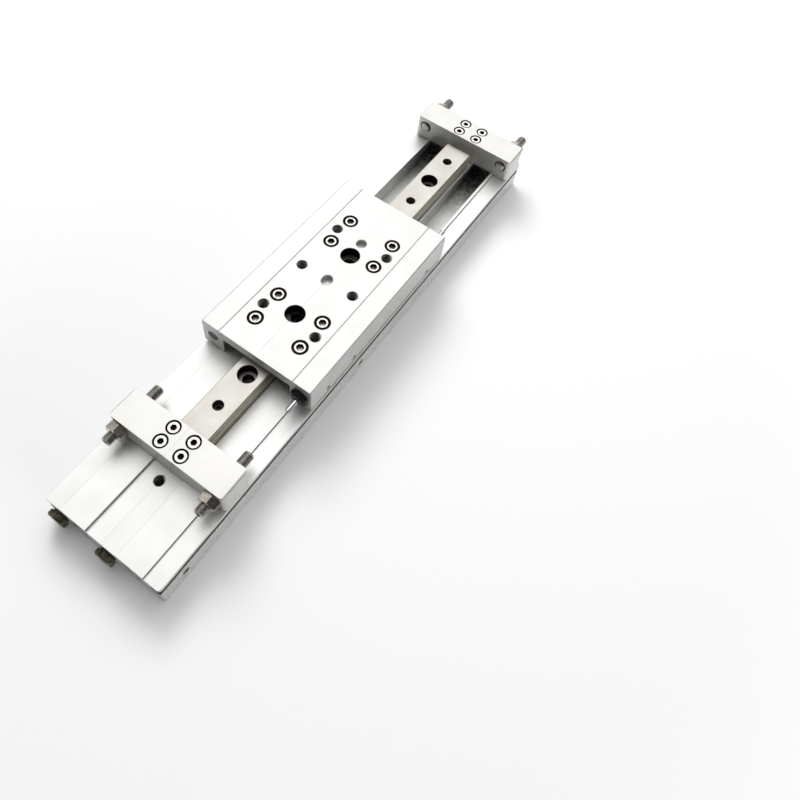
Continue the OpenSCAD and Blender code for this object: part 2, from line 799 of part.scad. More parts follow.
module table_profile() {
  groove = 0.3;
  intersection() {
    half_table_profiles(groove);
    translate([0, leg_bottom + table_w / 4]) rounded_rect([table_w, table_w / 2], leg_r);
  }
}

module half_table_profiles(groove) {
  for (s = [0, 1]) mirror([s, 0]) polygon([
    [0, table_under], [leg_in, table_under], [leg_in, leg_bottom], [table_w / 2, leg_bottom],
    [table_w / 2, table_top - table_chamfer], [table_w / 2 - table_chamfer, table_top],
    [trim_y + groove, table_top], [trim_y, table_top - groove], [trim_y - groove, table_top],
    [0, table_top]
  ]);
}

module side_hole(x, side) {
  translate([x, side * (table_w / 2 + cut), side_hole_z]) rotate([side * 90, 0, 0])
    cylinder(d = side_hole_d, h = side_hole_depth + cut);
}

module table() {
  middle = (carriage_centres[0] + carriage_centres[1]) / 2;
  color("white") difference() {
    translate([table_x, 0, 0]) rotate([90, 0, 90]) linear_extrude(table_len) table_profile();
    table_screw_places() {
      translate([0, 0, table_under - cut]) cylinder(d = table_screw_d + 0.3, h = table_top);
      translate([0, 0, table_seat]) cylinder(d = cbore_d(table_screw_d), h = table_top);
    }
    for (x = [carriage_centres[0], middle, carriage_centres[1]], s = sides) {
      drill(x, s * tapped_y, table_top, tapped_d, plate_t + cut);
      countersink(x, s * tapped_y, table_top, tapped_d, tap_extra);
    }
    for (x = access_centres) drill(x, 0, table_top, access_d, plate_t + cut);
    drill(carriage_centres[1] - 0.3, 0, table_top, pin_d, pin_depth);
    countersink(carriage_centres[1] - 0.3, 0, table_top, pin_d, tap_extra);
    translate([middle, 0, table_top - pin_depth])
      linear_extrude(pin_depth + cut) slot(pin_d + pin_slack, pin_d);
    translate([middle, 0, table_top - tap_extra])
      linear_extrude(cut) slot(pin_d + pin_slack + 2 * tap_extra, pin_d + 2 * tap_extra);
    for (s = sides) {
      // tapped holes for the brackets, seen from below
      translate([bracket_screw_x, s * bore_y, table_under - cut])
        cylinder(d = bracket_screw_d + 2 * fit_gap, h = cut + plate_t - plate_skin);
      for (x = [side_hole_near[0], side_hole_near[1], table_len - side_hole_far])
        side_hole(table_x + x, s);
    }
    // absorber and bumper sockets in the ends of the legs
    for (end = [0, 1]) {
      leg_socket(-1, end, absorber_d, absorber_len - absorber_out + 2);
      leg_socket(1, end, bumper_d, bumper_len);
    }
  }
}

// blind hole in a leg, from the near end (end = 0) or the far end (end = 1)
module leg_socket(side, end, d, depth) {
  hole = d + 2 * fit_gap;
  x = end == 0 ? table_x : table_end;
  rod_x(end == 0 ? x - cut : x - depth, side * stop_y, stop_z, hole, depth + cut);
  translate([x, side * stop_y, stop_z]) rotate([0, end == 0 ? 90 : -90, 0])
    cylinder(d1 = hole + 1, d2 = hole, h = 0.5);
}

module table_screws() {
  color("silver") table_screw_places() translate([0, 0, table_seat])
    cap_screw(table_screw_d, table_seat - table_under + thread_reach * table_screw_d);
}

// ---------- carriages ----------

// outline of a carriage around the rail, seen along the stroke
module carriage_profile(w, top) {
  difference() {
    translate([-w / 2, carriage_bottom]) square([w, top - carriage_bottom]);
    translate([0, seat_z]) rail_profile(run_gap);
    translate([-rail_w / 2 - run_gap, seat_z]) square([rail_w + 2 * run_gap, rail_h / 2]);
    for (s = sides, z = race_z) translate([s * race_y, seat_z + z]) circle(d = race_d);
  }
}

module carriage(c) {
  difference() {
    translate([c - carriage_len / 2, 0, 0]) rotate([90, 0, 90]) linear_extrude(carriage_len)
      carriage_profile(carriage_w, table_under);
    for (i = sides, j = sides)
      drill(c + i * table_screw_x / 2, j * table_screw_y / 2, table_under,
        table_screw_d + 2 * fit_gap, thread_reach * table_screw_d + 0.6);
    for (x = access_centres) drill(x, 0, table_under, access_d, table_under - rail_top);
  }
}
module near_carriage() { color("gray") carriage(carriage_centres[0]); }
module far_carriage() { color("gray") carriage(carriage_centres[1]); }

module carriage_end_caps() {
  drop = 0.4;
  color("darkgreen") for (c = carriage_centres, s = sides) difference() {
    translate([s > 0 ? c + carriage_len / 2 : c - carriage_len / 2 - cap_len, 0, 0])
      rotate([90, 0, 90]) linear_extrude(cap_len) difference() {
        translate([-carriage_w / 2 + drop, carriage_bottom + drop])
          square([carriage_w - 2 * drop, table_under - carriage_bottom - 2 * drop]);
        translate([0, seat_z]) rail_profile(run_gap);
      }
    for (x = access_centres) drill(x, 0, table_under, access_d, table_under - rail_top);
  }
}

module carriage_balls() {
  span = carriage_len - ball_d - 1;
  color("silver") for (c = carriage_centres, s = sides, z = race_z, i = [0 : ball_count - 1])
    translate([c - span / 2 + i * span / (ball_count - 1), s * race_y, seat_z + z])
      sphere(d = ball_d, $fn = 24);
}

// ---------- shock absorbers and bumpers ----------

// tube with a closed back, its open front at x; dir is the way its rod points
module absorber(x, side, dir) {
  back = dir < 0 ? x : x - absorber_len;
  hollow = absorber_head + 2 * absorber_stroke + absorber_room;
  wall = absorber_wall;
  difference() {
    rod_x(back, side * stop_y, stop_z, absorber_d, absorber_len);
    rod_x(dir < 0 ? x + wall : x - wall - hollow, side * stop_y, stop_z, absorber_bore, hollow);
    rod_x(x - wall - cut, side * stop_y, stop_z, absorber_rod_d + 2 * fit_gap, 2 * (wall + cut));
  }
}

// rod with its inner piston, drawn fully out
module absorber_rod(x, side, dir) {
  rest = absorber_wall + run_gap;
  back = rest + absorber_head;
  rod_x(dir < 0 ? x - absorber_rod_out : x - back, side * stop_y, stop_z, absorber_rod_d,
    absorber_rod_out + back);
  rod_x(dir < 0 ? x + rest : x - back, side * stop_y, stop_z, absorber_bore - 0.2,
    absorber_head);
}
near_absorber_x = table_x - absorber_out;
far_absorber_x = table_end + absorber_out;

module near_absorber() { color("dimgray") absorber(near_absorber_x, -1, -1); }
module far_absorber() { color("dimgray") absorber(far_absorber_x, -1, 1); }
module near_absorber_rod() { color("silver") absorber_rod(near_absorber_x, -1, -1); }
module far_absorber_rod() { color("silver") absorber_rod(far_absorber_x, -1, 1); }

module absorber_nuts() {
  color("dimgray") {
    for (x = [table_x - absorber_nut_t, table_end])
      hex_nut_x(x, -stop_y, stop_z, absorber_nut_af, absorber_nut_t, absorber_d + 2 * fit_gap);
  }
}

module near_bumper() { color("black") rod_x(table_x, stop_y, stop_z, bumper_d, bumper_len - 0.2); }
module far_bumper() {
  color("black") rod_x(table_end - bumper_len + 0.2, stop_y, stop_z, bumper_d, bumper_len - 0.2);
}

base_body();
guide_rail();
rail_screws();
near_stopper_block();
far_stopper_block();
near_block_screws();
far_block_screws();
near_lock_nuts();
far_lock_nuts();
port_plugs();
port_gaskets();
passage_plugs();
head_covers();
head_cover_rings();
head_retaining_rings();
rod_covers();
rod_cover_rings();
rod_seals();
rod_retaining_rings();
near_left_bolt();
near_right_bolt();
far_left_bolt();
far_right_bolt();
table();
table_screws();
near_carriage();
far_carriage();
carriage_end_caps();
carriage_balls();
left_bracket();
right_bracket();
bracket_screws();
rod_nuts();
left_piston_rod();
right_piston_rod();
pistons();
piston_seals();
piston_magnets();
near_absorber();
far_absorber();
absorber_nuts();
near_absorber_rod();
far_absorber_rod();
near_bumper();
far_bumper();
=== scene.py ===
import math

import bmesh
import bpy
from mathutils import Matrix, Vector


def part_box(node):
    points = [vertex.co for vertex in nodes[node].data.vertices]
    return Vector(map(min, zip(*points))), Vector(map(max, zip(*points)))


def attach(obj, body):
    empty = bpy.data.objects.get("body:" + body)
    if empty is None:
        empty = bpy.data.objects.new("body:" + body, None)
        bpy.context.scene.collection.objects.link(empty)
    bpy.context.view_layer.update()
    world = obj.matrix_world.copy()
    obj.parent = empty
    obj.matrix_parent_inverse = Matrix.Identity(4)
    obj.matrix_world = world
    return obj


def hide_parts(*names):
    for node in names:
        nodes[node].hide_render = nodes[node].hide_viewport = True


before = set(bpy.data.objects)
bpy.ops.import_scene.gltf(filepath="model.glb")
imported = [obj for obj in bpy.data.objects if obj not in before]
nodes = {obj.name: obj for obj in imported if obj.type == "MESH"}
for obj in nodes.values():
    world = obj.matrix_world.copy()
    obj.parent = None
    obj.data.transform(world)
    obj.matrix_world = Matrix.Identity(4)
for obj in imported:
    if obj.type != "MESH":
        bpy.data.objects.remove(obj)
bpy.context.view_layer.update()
mm = 0.001
print("frame loaded:", len(nodes), "parts")


def linear(hexColour):
    # sRGB hex code to the linear colour that shader sockets take
    channels = [int(hexColour[i:i + 2], 16) / 255 for i in (1, 3, 5)]
    return [c / 12.92 if c <= 0.04045 else ((c + 0.055) / 1.055) ** 2.4 for c in channels] + [1.0]


def scaleFor(size):
    # noise scale that gives features of this size, in millimetres
    return 1 / (size * mm)


def addNode(tree, kind, sockets=None, **settings):
    # adds a shader node with its settings; a socket takes a plain value, or the output that it is linked to
    node = tree.nodes.new("ShaderNode" + kind)
    for name, value in settings.items():
        setattr(node, name, value)
    for key, value in (sockets or {}).items():
        if isinstance(value, bpy.types.NodeSocket):
            tree.links.new(value, node.inputs[key])
        else:
            node.inputs[key].default_value = value
    return node


def newObject(name, bm, material):
    # turns a finished bmesh into an object at the origin
    mesh = bpy.data.meshes.new(name)
    bm.to_mesh(mesh)
    bm.free()
    mesh.materials.append(material)
    made = bpy.data.objects.new(name, mesh)
    bpy.context.scene.collection.objects.link(made)
    return made


def newPiece(name, bm, body, slot, material, *replaced):
    # a piece that rides on a body, and stands for the CAD parts that it replaces
    piece = newObject(name, bm, material)
    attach(piece, body)
    if replaced:
        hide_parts(*replaced)


def paint(material, *names):
    # gives CAD parts their finish
    for name in names:
        slots = nodes[name].data.materials
        slots.clear()
        slots.append(material)


def startMaterial(name, specular):
    # new material, with the place on the piece that its patterns read
    material = bpy.data.materials.new(name)
    material.use_nodes = True
    tree = material.node_tree
    shader = tree.nodes["Principled BSDF"]
    shader.inputs["Specular IOR Level"].default_value = specular
    place = addNode(tree, "TexCoord").outputs["Object"]
    return material, tree, shader, place


def stain(tree, colour, hexColour, strength, *limits):
    # mixes a colour in; each limit is what is measured, where the stain is gone and where it is full
    share = strength
    for measured, gone, full in limits:
        step = addNode(tree, "MapRange", {"Value": measured, "From Min": gone, "From Max": full})
        share = addNode(tree, "Math", {0: share, 1: step.outputs["Result"]}, operation="MULTIPLY").outputs[0]
    mixed = addNode(tree, "Mix", {"Factor": share, 6: colour, 7: linear(hexColour)}, data_type="RGBA")
    return mixed.outputs[2]


def spreadRoughness(tree, shader, look, texture):
    # the roughness wanders round its value with a texture
    low, high = look["roughness"] - look["spread"], look["roughness"] + look["spread"]
    rough = addNode(tree, "MapRange", {"Value": texture.outputs["Fac"], "To Min": low, "To Max": high})
    tree.links.new(rough.outputs["Result"], shader.inputs["Roughness"])


def levelness(tree):
    # 1 on level faces, 0 on upright ones
    facing = addNode(tree, "NewGeometry").outputs["True Normal"]
    upward = addNode(tree, "SeparateXYZ", {0: facing}).outputs["Z"]
    return addNode(tree, "Math", {0: upward}, operation="ABSOLUTE").outputs[0]


def measures(tree, place):
    # how far along the body a point is, how far out from its centre line, and how high
    spot = addNode(tree, "SeparateXYZ", {0: place})
    out = addNode(tree, "Math", {0: spot.outputs["Y"]}, operation="ABSOLUTE")
    return spot.outputs["X"], out.outputs[0], spot.outputs["Z"]


def wornEdges(tree, colour, look, rounded):
    # the rounded normal turns away from the flat one at an edge, and the finish is worn thin there
    flat = addNode(tree, "NewGeometry").outputs["Normal"]
    turn = addNode(tree, "VectorMath", {0: rounded, 1: flat}, operation="DOT_PRODUCT")
    return stain(tree, colour, look["bare"], look["wear"], (turn.outputs["Value"], 1.0, 0.8))


def shadeOnSides(tree, colour, look, place):
    # painted shade: upright faces take a darker colour of their own
    return stain(tree, colour, look["sides"], 1.0, (levelness(tree), 0.95, 0.75))


def blastedSides(tree, colour, look, place):
    # the sides were bead blasted before anodising; real specks are finer, and wouldn't show
    specks = addNode(tree, "TexNoise", {
        "Vector": place, "Scale": scaleFor(0.417), "Detail": 3.0, "Roughness": 0.65})
    return stain(tree, colour, "#7C7C7A", look["specks"],
                 (levelness(tree), 0.6, 0.4), (specks.outputs["Fac"], 0.42, 0.62))


def channelEndShade(tree, colour, look, place):
    # painted shade in blots, darkening the channel floors towards the far stopper block
    grease = look["grease"]
    soft = 0.3 * mm
    along, out, up = measures(tree, place)
    blots = addNode(tree, "TexNoise", {
        "Vector": place, "Scale": scaleFor(grease["blot"]), "Detail": 4.0, "Roughness": 0.6})
    return stain(tree, colour, "#26241F", 0.92,
                 (along, grease["start"], grease["full"]), (along, grease["end"], grease["end"] - soft),
                 (out, grease["halfWidth"], grease["halfWidth"] - soft),
                 (up, grease["floor"], grease["floor"] + soft), (up, grease["top"], grease["top"] - 3 * mm),
                 (blots.outputs["Fac"], 0.0, 0.6))


def shadeInGrooves(tree, colour, look, place):
    # painted shade: the switch grooves are darkened out to the edge of their lower lips
    inner, outer, low, high = (look["groove"][key] for key in ("inner", "outer", "low", "high"))
    soft = 0.1 * mm
    along, out, up = measures(tree, place)
    return stain(tree, colour, "#2B2A28", 0.85, (out, inner, inner + soft), (out, outer, outer - soft),
                 (up, low, low + soft), (up, high, high - soft))


def shadeInCorners(tree, colour, look, place):
    # painted shade: inner corners, and on the blocks the places close under other parts, are darkened by how
    # shut in they are
    corner = addNode(tree, "AmbientOcclusion", {"Distance": look["dirtWidth"] * mm},
                     samples=8, only_local=look["alone"])
    along, out, up = measures(tree, place)
    return stain(tree, colour, "#161513", look["dirt"], (corner.outputs["AO"], *look["dirtRange"]),
                 (up, look["dirtAbove"], look["dirtAbove"] + 0.5 * mm))


# sizes in millimetres: cloud is how wide the soft clouds of tone are, grain is the texture of blasting or
# anodising, and mark is how long the marks of a tool are along X, Y and Z; dirtAbove is the lowest
# height in metres at which corners take painted shade
metalDefaults = {
    "specular": 0.5, "cloud": 11.1, "grain": 0.167, "grainStrength": 0.15, "mark": (50, 0.25, 0.25),
    "markStrength": 0.1, "edge": 0.2, "wear": 0.5, "spread": 0.05, "dirtWidth": 1.1, "dirtRange": (0.8, 0.5),
    "dirtAbove": -1.0, "alone": True}


def metalFinish(name, changes):
    look = {**metalDefaults, **changes}
    material, tree, shader, place = startMaterial(name, look["specular"])
    shader.inputs["Metallic"].default_value = look["metallic"]

    # the edges of a machined piece are broken by hand, so they catch the light
    rounded = addNode(tree, "Bevel", {"Radius": look["edge"] * mm}, samples=4).outputs["Normal"]
    grain = addNode(tree, "TexNoise", {"Vector": place, "Scale": scaleFor(look["grain"]), "Detail": 2.0})
    stretch = addNode(tree, "Mapping", {"Vector": place, "Scale": [scaleFor(size) for size in look["mark"]]})
    marks = addNode(tree, "TexNoise", {"Vector": stretch.outputs["Vector"], "Scale": 1.0, "Detail": 3.0})
    relief = rounded
    for texture, strength in ((grain, look["grainStrength"]), (marks, look["markStrength"])):
        relief = addNode(tree, "Bump", {
            "Strength": strength, "Distance": 0.02 * mm,
            "Height": texture.outputs["Fac"], "Normal": relief}).outputs["Normal"]
    tree.links.new(relief, shader.inputs["Normal"])
    spreadRoughness(tree, shader, look, marks)

    clouds = addNode(tree, "TexNoise", {"Vector": place, "Scale": scaleFor(look["cloud"]), "Detail": 4.0})
    colour = stain(tree, linear(look["colour"]), look["shade"], 1.0, (clouds.outputs["Fac"], 0.3, 0.7))
    colour = wornEdges(tree, colour, look, rounded)
    for key, change in (("sides", shadeOnSides), ("specks", blastedSides), ("grease", channelEndShade),
                        ("groove", shadeInGrooves), ("dirt", shadeInCorners)):
        if key in look:
            colour = change(tree, colour, look, place)
    tree.links.new(colour, shader.inputs["Base Color"])
    return material


bodyAnodised = metalFinish("bodyAnodised", {       # extruded, clear anodised: bright satin, greyer sides; painted shade in corners, switch grooves and channel ends
    "colour": "#E7E7E5", "shade": "#E0E0DE", "bare": "#F0F0EE", "metallic": 0.72, "roughness": 0.42,
    "mark": (83, 0.4, 0.4), "markStrength": 0.12, "grainStrength": 0.2,
    "specks": 0.5, "dirt": 0.9, "dirtAbove": 12 * mm,
    "groove": {"low": 10.2 * mm, "high": 14.4 * mm, "inner": 25 * mm, "outer": 29.6 * mm},
    "grease": {"start": 228 * mm, "full": 262 * mm, "end": 283 * mm, "halfWidth": 20.9 * mm,
               "floor": 1 * mm, "top": 14 * mm, "blot": 2.38}})
tableAnodised = metalFinish("tableAnodised", {     # milled, clear anodised: a pale, even satin
    "colour": "#DDDDDB", "shade": "#D7D7D5", "bare": "#EAEAE8", "metallic": 0.72, "roughness": 0.42,
    "mark": (83, 0.4, 0.4), "grainStrength": 0.2, "specks": 0.58})
blockAnodised = metalFinish("blockAnodised", {     # milled across, clear anodised: satin, faintly warm; painted shade in corners and close under other parts
    "colour": "#DFDEDA", "shade": "#D9D8D4", "bare": "#EDECE8", "metallic": 0.72, "roughness": 0.42,
    "mark": (0.4, 83, 0.4), "grainStrength": 0.2, "specks": 0.4,
    "dirt": 0.8, "dirtWidth": 2.5, "dirtRange": (0.7, 0.4), "alone": False})
bracketAnodised = metalFinish("bracketAnodised", {  # milled, clear anodised: grey satin
    "colour": "#A9A9A8", "shade": "#9E9E9D", "bare": "#C9C9C8", "metallic": 0.6, "roughness": 0.42})
coverAluminium = metalFinish("coverAluminium", {   # turned: rings from the tool that glint
    "colour": "#C9C9C9", "shade": "#BFBFBF", "bare": "#DADADA", "metallic": 1.0, "roughness": 0.3,
    "mark": (0.25, 50, 50), "markStrength": 0.3})
pistonAluminium = metalFinish("pistonAluminium", {  # turned, and yellowed by grease
    "colour": "#CFCBC2", "shade": "#C4C0B7", "bare": "#DDDAD3", "metallic": 1.0, "roughness": 0.35,
    "mark": (0.25, 50, 50), "markStrength": 0.3})

railSteel = metalFinish("railSteel", {             # hardened, ground lengthwise: silky streaks; darker, browner sides and darker corners are painted shade
    "colour": "#C6C4BE", "shade": "#B9B4AE", "bare": "#DAD7D2", "sides": "#AEA899",
    "metallic": 0.8, "roughness": 0.3, "mark": (40, 0.167, 0.167), "markStrength": 0.3,
    "grainStrength": 0.05, "edge": 0.15, "dirt": 0.95, "dirtWidth": 0.8})
carriageSteel = metalFinish("carriageSteel", {     # ground: a darker grey, streaked along the rail
    "colour": "#9B9894", "shade": "#8E8B87", "bare": "#BDBAB6", "metallic": 1.0, "roughness": 0.32,
    "mark": (40, 0.2, 0.2), "markStrength": 0.25})
ballSteel = metalFinish("ballSteel", {             # lapped: small mirrors
    "colour": "#D6D6D6", "shade": "#CECECE", "bare": "#E2E2E2", "metallic": 1.0, "roughness": 0.12,
    "markStrength": 0.02, "grainStrength": 0.02})
screwSteel = metalFinish("screwSteel", {           # bright zinc on top; knurled sides painted near black, a painted shade that draws the dark gap round the heads
    "colour": "#E4E2DE", "shade": "#DAD8D4", "bare": "#F2F1EE", "sides": "#1B1A19",
    "metallic": 0.7, "roughness": 0.33, "grain": 0.25, "grainStrength": 0.25, "edge": 0.12})
boltSteel = metalFinish("boltSteel", {             # rolled thread with a little oil: bright crests, roots darkened by painted shade
    "colour": "#D9D6CF", "shade": "#B9B5AD", "bare": "#F0EEE9", "metallic": 0.9, "roughness": 0.26,
    "cloud": 2.5, "grain": 0.2, "grainStrength": 0.3, "edge": 0.08,
    "dirt": 0.95, "dirtWidth": 0.6, "dirtRange": (0.85, 0.45)})
nutSteel = metalFinish("nutSteel", {               # zinc plated: warm glints, mottled by handling; painted shade in the corners
    "colour": "#EAE5DB", "shade": "#BDB5A7", "bare": "#FAF7F2", "metallic": 1.0, "roughness": 0.24,
    "cloud": 2.5, "grainStrength": 0.3, "edge": 0.15, "dirt": 0.9})
plugSteel = metalFinish("plugSteel", {             # olive chromate: dark and glossy, in patches; painted shade in the corners
    "colour": "#8B8672", "shade": "#2E2C25", "bare": "#D2CDBA", "metallic": 0.85, "roughness": 0.28,
    "cloud": 2.0, "grainStrength": 0.3, "edge": 0.15, "dirt": 0.9})
blackSteel = metalFinish("blackSteel", {           # black oxide: soft black, grey where edges rub
    "colour": "#2B2B2D", "shade": "#222224", "bare": "#5A5A5C", "metallic": 0.7, "roughness": 0.38,
    "cloud": 3.33, "grainStrength": 0.3, "edge": 0.12})
springSteel = metalFinish("springSteel", {         # tempered: a dark grey sheen
    "colour": "#4C4B4A", "shade": "#403F3E", "bare": "#7A7876", "metallic": 0.9, "roughness": 0.32})
chromeRod = metalFinish("chromeRod", {             # hard chrome, polished along the rod: nearly a mirror
    "colour": "#D4D6D8", "shade": "#CCCED0", "bare": "#E4E5E6", "metallic": 1.0, "roughness": 0.14,
    "mark": (33, 0.2, 0.2), "markStrength": 0.06, "grainStrength": 0.03, "edge": 0.12})
boreShadeFilm = metalFinish("boreShadeFilm", {                 # painted shade: a dull dark film that mirrors nothing, laid in bores, sockets and round bolt tips
    "colour": "#17130F", "shade": "#2A1A16", "bare": "#3A2A24", "metallic": 0.0, "roughness": 0.8,
    "specular": 0.1, "cloud": 2.0, "grainStrength": 0.4, "edge": 0.05, "wear": 0.2})
cutThreadShade = metalFinish("cutThreadShade", {             # tapped threads, bright and dark by turns, painted darker: a painted shade inside the holes
    "colour": "#A5A19A", "shade": "#45423E", "bare": "#B9B6B0", "metallic": 0.75, "roughness": 0.3,
    "cloud": 1.43, "grainStrength": 0.4, "edge": 0.06})
magnetFerrite = metalFinish("magnetFerrite", {     # pressed and sintered: dull dark grey
    "colour": "#39383A", "shade": "#302F31", "bare": "#4A494B", "metallic": 0.2, "roughness": 0.6})

mouldedDefaults = {"cloud": 2.86, "skinStrength": 0.3, "skinDepth": 0.03, "edge": 0.15, "spread": 0.08}


def mouldedFinish(name, changes):
    # rubber and plastic; skin is the size in millimetres of the texture that the mould leaves
    look = {**mouldedDefaults, **changes}
    material, tree, shader, place = startMaterial(name, look["specular"])
    clouds = addNode(tree, "TexNoise", {"Vector": place, "Scale": scaleFor(look["cloud"]), "Detail": 3.0})
    colour = stain(tree, linear(look["colour"]), look["shade"], 1.0, (clouds.outputs["Fac"], 0.0, 1.0))
    tree.links.new(colour, shader.inputs["Base Color"])
    skin = addNode(tree, "TexNoise", {"Vector": place, "Scale": scaleFor(look["skin"]), "Detail": 2.0})
    rounded = addNode(tree, "Bevel", {"Radius": look["edge"] * mm}, samples=4)
    relief = addNode(tree, "Bump", {
        "Strength": look["skinStrength"], "Distance": look["skinDepth"] * mm,
        "Height": skin.outputs["Fac"], "Normal": rounded.outputs["Normal"]})
    tree.links.new(relief.outputs["Normal"], shader.inputs["Normal"])
    spreadRoughness(tree, shader, look, skin)
    return material


nitrileRubber = mouldedFinish("nitrileRubber", {   # matt black, with a faint bloom
    "colour": "#1C1C1D", "shade": "#262627", "roughness": 0.55, "specular": 0.4, "skin": 0.2})
bumperUrethane = mouldedFinish("bumperUrethane", {  # black with a slight gloss
    "colour": "#232325", "shade": "#303033", "roughness": 0.42, "specular": 0.5, "skin": 0.333})
capPlastic = mouldedFinish("capPlastic", {         # dark green acetal: a satin skin
    "colour": "#1F3A2C", "shade": "#284636", "roughness": 0.45, "specular": 0.5, "skin": 0.25})
print("finishes made")

paint(bodyAnodised, "base_body")
paint(tableAnodised, "table")
paint(blockAnodised, "near_stopper_block", "far_stopper_block")
paint(bracketAnodised, "left_bracket", "right_bracket")
paint(coverAluminium, "head_covers", "rod_covers")
paint(pistonAluminium, "pistons")
paint(railSteel, "guide_rail")
paint(carriageSteel, "near_carriage", "far_carriage")
paint(ballSteel, "carriage_balls")
paint(screwSteel, "near_block_screws", "far_block_screws", "table_screws")
paint(boltSteel, "near_left_bolt", "near_right_bolt", "far_left_bolt", "far_right_bolt")
paint(nutSteel, "near_lock_nuts", "far_lock_nuts", "rod_nuts")
paint(plugSteel, "port_plugs", "passage_plugs")
paint(blackSteel, "rail_screws", "near_absorber", "far_absorber", "absorber_nuts", "bracket_screws")
paint(springSteel, "head_retaining_rings", "rod_retaining_rings")
paint(chromeRod, "left_piston_rod", "right_piston_rod", "near_absorber_rod", "far_absorber_rod")
paint(magnetFerrite, "piston_magnets")
paint(nitrileRubber, "port_gaskets", "head_cover_rings", "rod_cover_rings", "rod_seals", "piston_seals")
paint(bumperUrethane, "near_bumper", "far_bumper")
paint(capPlastic, "carriage_end_caps")
print("parts painted")


def spinThread(bm, profile, pitch, turns, steps, closed=False):
    # sweeps a thread's profile round X; the profile's points are (along, radius)
    verts = [bm.verts.new((x, 0, r)) for x, r in profile]
    following = verts[1:] + verts[:1] if closed else verts[1:]
    edges = [bm.edges.new(pair) for pair in zip(verts, following)]
    bmesh.ops.spin(bm, geom=verts + edges, cent=(0, 0, 0), axis=(1, 0, 0),
                   dvec=(pitch / steps, 0, 0), angle=2 * math.pi * turns, steps=steps * turns)


def trimEnds(bm, length):
    # cuts off what lies before 0 and beyond length along X
    for x, side in ((0, -1), (length, 1)):
        bmesh.ops.bisect_plane(bm, geom=bm.verts[:] + bm.edges[:] + bm.faces[:], dist=0.0005 * mm,
                               plane_co=(x, 0, 0), plane_no=(side, 0, 0), clear_outer=True)


def closeEnds(bm):
    # fills the open ends, and gives their faces in order along X
    made = bmesh.ops.holes_fill(bm, edges=[e for e in bm.edges if e.is_boundary], sides=0)["faces"]
    bmesh.ops.recalc_face_normals(bm, faces=bm.faces)
    return sorted(made, key=lambda f: f.calc_center_median().x)


def setRadius(verts, radiusAt):
    # moves points in or out from X; radiusAt gives the new radius from the place along, the angle and the old
    for v in verts:
        r = math.hypot(v.co.y, v.co.z)
        k = radiusAt(v.co.x, math.atan2(v.co.z, v.co.y), r) / r
        v.co.y *= k
        v.co.z *= k


def smoothed(bm):
    # smooth faces, with the edges kept sharp where they turn more than 35 degrees
    for f in bm.faces:
        f.smooth = True
    for e in bm.edges:
        e.smooth = len(e.link_faces) == 2 and e.calc_face_angle(0) < math.radians(35)


# the thread's depth, and where its crest and its root start and end, are shares of the pitch
stopBolt = {
    "radius": 2.5 * mm, "pitch": 0.8 * mm, "steps": 36,
    "threadDepth": 0.6, "crestStart": 0.3, "crestEnd": 0.42, "rootStart": 0.74,
    "endDrop": 0.03 * mm, "chamferSlope": 1.2,
    "keyWidth": 2.5 * mm, "mouthRadius": 1.525 * mm, "mouthDepth": 0.1 * mm,
    "socketDepth": 3 * mm, "drillTip": 0.3 * mm,
}


def threadedRod(length, look):
    # threaded rod along X from 0 to length, with chamfered ends; gives the bmesh and its two end faces
    bm = bmesh.new()
    pitch, crest = look["pitch"], look["radius"]
    root = crest - look["threadDepth"] * pitch
    endRadius = root - look["endDrop"]
    profile = [(0, root), (look["crestStart"], crest), (look["crestEnd"], crest), (look["rootStart"], root),
               (1, root)]
    turns = int(length / pitch) + 3
    spinThread(bm, [((share - 2) * pitch, r) for share, r in profile], pitch, turns, look["steps"])
    bmesh.ops.remove_doubles(bm, verts=bm.verts, dist=0.001 * mm)
    trimEnds(bm, length)

    def chamfered(x, angle, radius):
        fromEnd = max(0, min(x, length - x))
        return min(radius, endRadius + fromEnd * look["chamferSlope"])

    setRadius(bm.verts, chamfered)
    return bm, *closeEnds(bm)


def makeStopBolt(name, socketEnd):
    # the bolt's node and its body have the same name
    low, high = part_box(name)
    bm, nearEnd, farEnd = threadedRod(high.x - low.x, stopBolt)
    face, inward = (nearEnd, 1) if socketEnd == "near" else (farEnd, -1)

    def hexagon(x, angle, radius):
        fromCorner = angle % (math.pi / 3) - math.pi / 6
        return stopBolt["keyWidth"] / 2 / math.cos(fromCorner)

    # each inset draws a new loop inside the end face, which then takes its real size
    bmesh.ops.inset_individual(bm, faces=[face], thickness=0.1 * mm)
    setRadius(face.verts, lambda x, angle, radius: stopBolt["mouthRadius"])
    bmesh.ops.inset_individual(bm, faces=[face], thickness=0.05 * mm, depth=-stopBolt["mouthDepth"])
    setRadius(face.verts, hexagon)
    bottom = bmesh.ops.extrude_discrete_faces(bm, faces=[face])["faces"][0]
    bmesh.ops.translate(bm, verts=bottom.verts, vec=(inward * stopBolt["socketDepth"], 0, 0))
    tip = stopBolt["drillTip"]
    bmesh.ops.inset_individual(bm, faces=[bottom], thickness=tip, depth=-tip)
    smoothed(bm)
    bmesh.ops.translate(bm, verts=bm.verts, vec=(low.x, (low.y + high.y) / 2, (low.z + high.z) / 2))
    newPiece(name + "Thread", bm, name, "bolt_steel", boltSteel, name)


for side in ("left", "right"):
    makeStopBolt(f"near_{side}_bolt", "near")
    makeStopBolt(f"far_{side}_bolt", "far")
print("stop bolts threaded")


def centreOf(name):
    low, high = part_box(name)
    return (low + high) / 2


nearX, farX = centreOf("near_carriage").x, centreOf("far_carriage").x
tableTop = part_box("table")[1].z
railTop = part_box("guide_rail")[1].z
